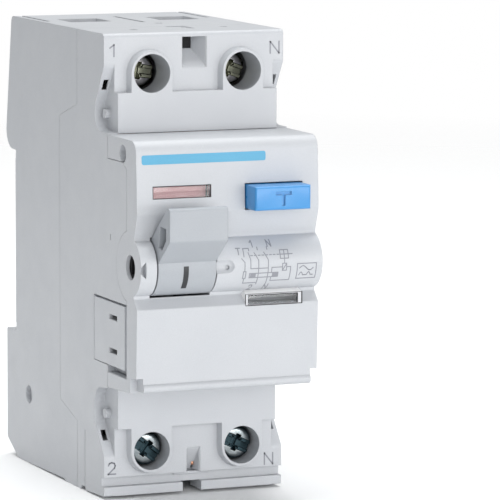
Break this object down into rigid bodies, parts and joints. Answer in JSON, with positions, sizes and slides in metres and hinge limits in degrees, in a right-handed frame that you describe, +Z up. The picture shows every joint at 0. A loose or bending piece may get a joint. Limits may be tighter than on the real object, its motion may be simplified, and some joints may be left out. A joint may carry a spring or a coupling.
{
  "type": "residual current circuit breaker",
  "caption": "Rail-mounted residual current circuit breaker with toggle, test button, position and fault windows, box clamps and a spring clip at the back.",
  "frame": {"origin": "rail seat plane, centred in the width and between the hook and clip sides of the rail slot", "axes": "+X to the right as seen from the front, the front faces -Y, +Y into the rail, +Z up"},
  "size_m": [0.0356, 0.0768, 0.086],
  "materials": {
    "housing_grey": "fine satin moulding grain",
    "toggle_grey": "satin",
    "button_blue": "semi-gloss",
    "clear_window": "clear polished plastic",
    "flag_red": "satin",
    "flag_dark": "satin",
    "zinc_steel": "zinc plated",
    "spring_steel": "bright drawn",
    "copper": "bright copper",
    "silver_contact": "satin silver",
    "core_blue": "cast resin shell",
    "winding": "enamelled copper wire",
    "dark_plastic": "satin",
    "clip_plastic": "satin",
    "resistor_body": "matt lacquer"
  },
  "bodies": {
    "housing": {"rear_base": "housing_grey", "front_housing": "housing_grey", "front_cover": "housing_grey", "side_lid": "housing_grey", "position_window": "clear_window", "fault_window": "clear_window", "carrier_pin": "zinc_steel", "transformer_core": "core_blue", "relay_yoke": "zinc_steel", "relay_coil": "winding", "test_spring": "spring_steel", "test_contact": "copper", "test_resistor": "resistor_body", "clip_spring": "spring_steel", "line_bar_l": "copper", "load_bar_l": "copper", "fixed_tip_l": "silver_contact", "primary_lead_l": "copper", "flex_braid_l": "copper", "clamp_frame_upper_l": "zinc_steel", "clamp_frame_lower_l": "zinc_steel", "line_bar_n": "copper", "load_bar_n": "copper", "fixed_tip_n": "silver_contact", "primary_lead_n": "copper", "flex_braid_n": "copper", "clamp_frame_upper_n": "zinc_steel", "clamp_frame_lower_n": "zinc_steel"},
    "toggle": {"toggle": "toggle_grey", "drive_shaft": "dark_plastic"},
    "contact_carrier": {"contact_carrier": "dark_plastic", "contact_arm_l": "copper", "contact_arm_n": "copper", "moving_tip_l": "silver_contact", "moving_tip_n": "silver_contact"},
    "position_flag": {"position_flag": "flag_red"},
    "fault_flag": {"fault_flag": "flag_dark"},
    "relay_plunger": {"relay_plunger": "zinc_steel"},
    "test_button": {"test_button": "button_blue"},
    "rail_clip": {"rail_clip": "clip_plastic"},
    "plate_upper_l": {"pressure_plate_upper_l": "zinc_steel"},
    "screw_upper_l": {"terminal_screw_upper_l": "zinc_steel"},
    "plate_lower_l": {"pressure_plate_lower_l": "zinc_steel"},
    "screw_lower_l": {"terminal_screw_lower_l": "zinc_steel"},
    "plate_upper_n": {"pressure_plate_upper_n": "zinc_steel"},
    "screw_upper_n": {"terminal_screw_upper_n": "zinc_steel"},
    "plate_lower_n": {"pressure_plate_lower_n": "zinc_steel"},
    "screw_lower_n": {"terminal_screw_lower_n": "zinc_steel"}
  },
  "joints": [
    {"name": "toggle_turn", "type": "hinge", "parent": "housing", "child": "toggle", "pos_m": [0, -0.061, 0.0023], "axis": [1, 0, 0], "range_deg": [0, 78]},
    {"name": "carrier_turn", "type": "hinge", "parent": "housing", "child": "contact_carrier", "pos_m": [0, -0.034, 0.0023], "axis": [1, 0, 0], "range_deg": [-27.2, 0], "deforming": ["flex_braid_l", "flex_braid_n"]},
    {"name": "position_flag_slide", "type": "slide", "parent": "housing", "child": "position_flag", "axis": [0, 0, -1], "range_m": [0, 0.0026]},
    {"name": "test_press", "type": "slide", "parent": "housing", "child": "test_button", "axis": [0, 1, 0], "range_m": [0, 0.0016], "stiffness_N_per_m": 1500, "springref_m": -0.0008, "deforming": ["test_spring"]},
    {"name": "plunger_lift", "type": "slide", "parent": "housing", "child": "relay_plunger", "axis": [0, 0, 1], "range_m": [0, 0.0015]},
    {"name": "fault_flag_slide", "type": "slide", "parent": "housing", "child": "fault_flag", "axis": [0, 0, 1], "range_m": [0, 0.00225]},
    {"name": "clip_slide", "type": "slide", "parent": "housing", "child": "rail_clip", "axis": [0, 0, -1], "range_m": [0, 0.003], "stiffness_N_per_m": 3000, "springref_m": -0.001, "deforming": ["clip_spring"]},
    {"name": "plate_slide_upper_l", "type": "slide", "parent": "housing", "child": "plate_upper_l", "axis": [0, 1, 0], "range_m": [-0.0042, 0.002]},
    {"name": "screw_turn_upper_l", "type": "hinge", "parent": "plate_upper_l", "child": "screw_upper_l", "pos_m": [-0.009, -0.04, 0.0361], "axis": [0, 1, 0], "range_deg": [-1890, 900]},
    {"name": "plate_slide_lower_l", "type": "slide", "parent": "housing", "child": "plate_lower_l", "axis": [0, 1, 0], "range_m": [0, 0.0062]},
    {"name": "screw_turn_lower_l", "type": "hinge", "parent": "plate_lower_l", "child": "screw_lower_l", "pos_m": [-0.009, -0.04, -0.0337], "axis": [0, 1, 0], "range_deg": [0, 2790]},
    {"name": "plate_slide_upper_n", "type": "slide", "parent": "housing", "child": "plate_upper_n", "axis": [0, 1, 0], "range_m": [-0.0042, 0.002]},
    {"name": "screw_turn_upper_n", "type": "hinge", "parent": "plate_upper_n", "child": "screw_upper_n", "pos_m": [0.009, -0.04, 0.0361], "axis": [0, 1, 0], "range_deg": [-1890, 900]},
    {"name": "plate_slide_lower_n", "type": "slide", "parent": "housing", "child": "plate_lower_n", "axis": [0, 1, 0], "range_m": [0, 0.0062]},
    {"name": "screw_turn_lower_n", "type": "hinge", "parent": "plate_lower_n", "child": "screw_lower_n", "pos_m": [0.009, -0.04, -0.0337], "axis": [0, 1, 0], "range_deg": [0, 2790]}
  ],
  "couplings": [
    {"joint": "carrier_turn", "follows": "toggle_turn", "ratio": -0.34868},
    {"joint": "position_flag_slide", "follows": "toggle_turn", "m_per_rad": 0.0019079},
    {"joint": "fault_flag_slide", "follows": "plunger_lift", "ratio": 1.5},
    {"joint": "screw_turn_upper_l", "follows": "plate_slide_upper_l", "rad_per_m": 7853.2},
    {"joint": "screw_turn_lower_l", "follows": "plate_slide_lower_l", "rad_per_m": 7853.2},
    {"joint": "screw_turn_upper_n", "follows": "plate_slide_upper_n", "rad_per_m": 7853.2},
    {"joint": "screw_turn_lower_n", "follows": "plate_slide_lower_n", "rad_per_m": 7853.2}
  ]
}
